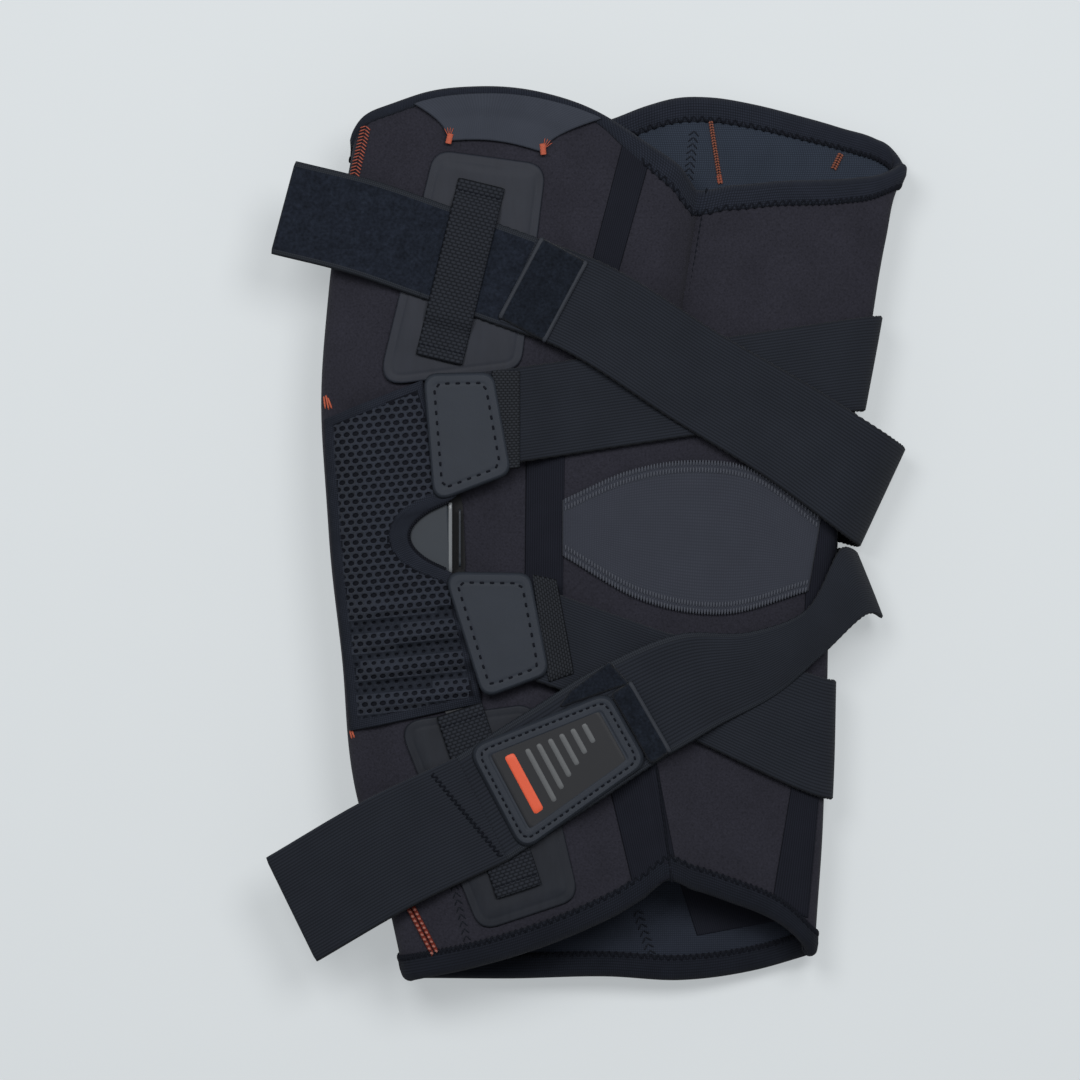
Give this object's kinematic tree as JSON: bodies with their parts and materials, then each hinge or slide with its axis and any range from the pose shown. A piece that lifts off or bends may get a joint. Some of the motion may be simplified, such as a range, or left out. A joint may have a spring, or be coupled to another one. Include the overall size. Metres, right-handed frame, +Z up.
{
  "type": "hinged knee support",
  "caption": "Soft neoprene knee support with geared side hinges in sewn pockets, crossing elastic straps and hook-and-loop tails, lying flat.",
  "frame": {"origin": "centre of the footprint on the table that the support lies on", "axes": "+Y along the leg toward the thigh, +X toward the back of the knee, +Z up from the table, out of the outer hinge"},
  "size_m": [0.2557, 0.3569, 0.0538],
  "materials": {
    "neoprene": "knit-faced neoprene",
    "edge_binding": "stretch binding tape",
    "stretch_knit": "fine stretch knit",
    "air_mesh": "open air mesh",
    "pocket_laminate": "smooth laminated film",
    "moulded_rubber": "matte moulded rubber",
    "elastic_webbing": "ribbed elastic webbing",
    "keeper_webbing": "flat woven webbing",
    "loop_pile": "brushed hook and loop",
    "blackened_steel": "blackened steel",
    "rivet_steel": "plain steel",
    "hinge_plastic": "satin moulded plastic"
  },
  "bodies": {
    "thigh": {"thigh_sleeve": "neoprene", "thigh_binding": "edge_binding", "pocket_flap": "pocket_laminate", "lateral_upper_arm": "blackened_steel", "lateral_upper_pocket": "pocket_laminate", "lateral_upper_keeper": "keeper_webbing", "lateral_upper_tab": "moulded_rubber", "medial_upper_arm": "blackened_steel", "medial_upper_pocket": "pocket_laminate", "medial_upper_keeper": "keeper_webbing", "medial_upper_tab": "moulded_rubber", "upper_anchor_strap": "elastic_webbing", "upper_cross_strap": "elastic_webbing", "upper_hook_patch": "loop_pile"},
    "lateral_link": {"lateral_hinge_frame": "hinge_plastic", "lateral_inner_plate": "blackened_steel", "lateral_outer_plate": "blackened_steel", "lateral_upper_rivet": "rivet_steel", "lateral_lower_rivet": "rivet_steel", "lateral_hinge_cover": "hinge_plastic", "lateral_mesh_cover": "air_mesh", "popliteal_panel": "stretch_knit"},
    "medial_link": {"medial_hinge_frame": "hinge_plastic", "medial_inner_plate": "blackened_steel", "medial_outer_plate": "blackened_steel", "medial_upper_rivet": "rivet_steel", "medial_lower_rivet": "rivet_steel", "medial_hinge_cover": "hinge_plastic", "medial_mesh_cover": "air_mesh"},
    "calf": {"calf_sleeve": "neoprene", "calf_binding": "edge_binding", "lateral_lower_arm": "blackened_steel", "lateral_lower_pocket": "pocket_laminate", "lateral_lower_keeper": "keeper_webbing", "lateral_lower_tab": "moulded_rubber", "medial_lower_arm": "blackened_steel", "medial_lower_pocket": "pocket_laminate", "medial_lower_keeper": "keeper_webbing", "medial_lower_tab": "moulded_rubber", "lower_anchor_strap": "elastic_webbing", "lower_cross_strap": "elastic_webbing", "lower_hook_patch": "loop_pile", "strap_badge": "moulded_rubber"},
    "upper_strap_end": {"upper_strap_tail": "loop_pile"},
    "lower_strap_end": {"lower_strap_tail": "elastic_webbing"}
  },
  "joints": [
    {"name": "knee_upper_pivot", "type": "hinge", "parent": "thigh", "child": "lateral_link", "pos_m": [-0.07005, 0.00999, 0.0448], "axis": [0, 0, 1], "range_deg": [-15.9, 26.5], "deforming": ["thigh_sleeve", "calf_sleeve", "lateral_mesh_cover", "medial_mesh_cover", "popliteal_panel", "upper_anchor_strap", "upper_cross_strap", "lower_anchor_strap", "lower_cross_strap"]},
    {"name": "knee_lower_pivot", "type": "hinge", "parent": "lateral_link", "child": "calf", "pos_m": [-0.06915, -0.01199, 0.0448], "axis": [0, 0, 1], "range_deg": [-15.9, 26.5]},
    {"name": "inner_upper_pivot", "type": "hinge", "parent": "thigh", "child": "medial_link", "pos_m": [-0.07005, 0.00999, 0.0091], "axis": [0, 0, 1], "range_deg": [-15.9, 26.5]},
    {"name": "upper_strap_lift", "type": "hinge", "parent": "thigh", "child": "upper_strap_end", "pos_m": [-0.0612, 0.11255, 0.0493], "axis": [0.3322, 0.9432, 0], "range_deg": [0, 85]},
    {"name": "lower_strap_lift", "type": "hinge", "parent": "calf", "child": "lower_strap_end", "pos_m": [-0.0425, -0.10855, 0.0509], "axis": [-0.4478, 0.8941, 0], "range_deg": [0, 85]}
  ],
  "couplings": [
    {"joint": "knee_lower_pivot", "follows": "knee_upper_pivot", "ratio": 1},
    {"joint": "inner_upper_pivot", "follows": "knee_upper_pivot", "ratio": 1}
  ]
}
